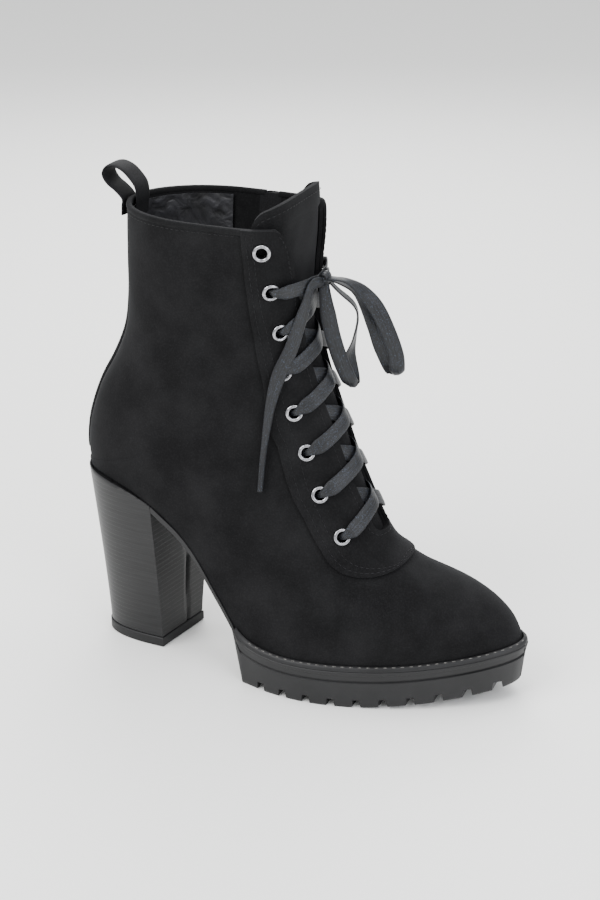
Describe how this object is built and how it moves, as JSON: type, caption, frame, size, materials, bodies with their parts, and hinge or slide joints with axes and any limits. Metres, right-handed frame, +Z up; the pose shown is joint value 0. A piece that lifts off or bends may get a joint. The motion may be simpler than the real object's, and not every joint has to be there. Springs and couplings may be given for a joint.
{
  "type": "lace up ankle boot",
  "caption": "Right-foot black suede lace-up ankle boot: hollow shaft with tongue and collar loop, platform sole with lugs, high block heel, ribbon lace with bow, inner zip with a hinged pull.",
  "frame": {"origin": "on the ground, at the middle of the boot's footprint box", "axes": "+X from heel to toe, +Y to the inner (medial) side, +Z up"},
  "size_m": [0.2362, 0.0844, 0.2536],
  "materials": {
    "suede": "matte microfibre suede",
    "lining": "matte napped lining",
    "sole": "satin",
    "heel": "satin lacquered stack",
    "lace": "satin ribbon",
    "zip": "satin coil",
    "nickel": "polished nickel plate"
  },
  "bodies": {
    "boot": {"upper": "suede", "eyestay": "suede", "backstay": "suede", "zip_chain": "zip", "tongue": "suede", "insole": "lining", "outsole": "sole", "welt": "sole", "heel": "heel", "top_lift": "sole", "pull_loop": "suede", "eyelet_lateral_1": "nickel", "eyelet_lateral_2": "nickel", "eyelet_lateral_3": "nickel", "eyelet_lateral_4": "nickel", "eyelet_lateral_5": "nickel", "eyelet_lateral_6": "nickel", "eyelet_lateral_7": "nickel", "eyelet_lateral_8": "nickel", "eyelet_medial_1": "nickel", "eyelet_medial_2": "nickel", "eyelet_medial_3": "nickel", "eyelet_medial_4": "nickel", "eyelet_medial_5": "nickel", "eyelet_medial_6": "nickel", "eyelet_medial_7": "nickel", "eyelet_medial_8": "nickel", "lace_cross_7": "lace", "lace_cross_6": "lace", "lace_cross_5": "lace", "lace_cross_4": "lace", "lace_cross_3": "lace", "lace_cross_2": "lace", "lace_straps": "lace", "bow_knot": "lace", "bow_loop_a": "lace", "bow_loop_b": "lace", "lace_end_a": "lace", "lace_end_b": "lace", "zip_slider": "nickel"},
    "zip_pull": {"zip_pull": "nickel"}
  },
  "joints": [
    {"name": "zip_pull_swing", "type": "hinge", "parent": "boot", "child": "zip_pull", "pos_m": [-0.02839, 0.03647, 0.23069], "axis": [0.9981, -0.0063, -0.0614], "range_deg": [0, 170]}
  ]
}
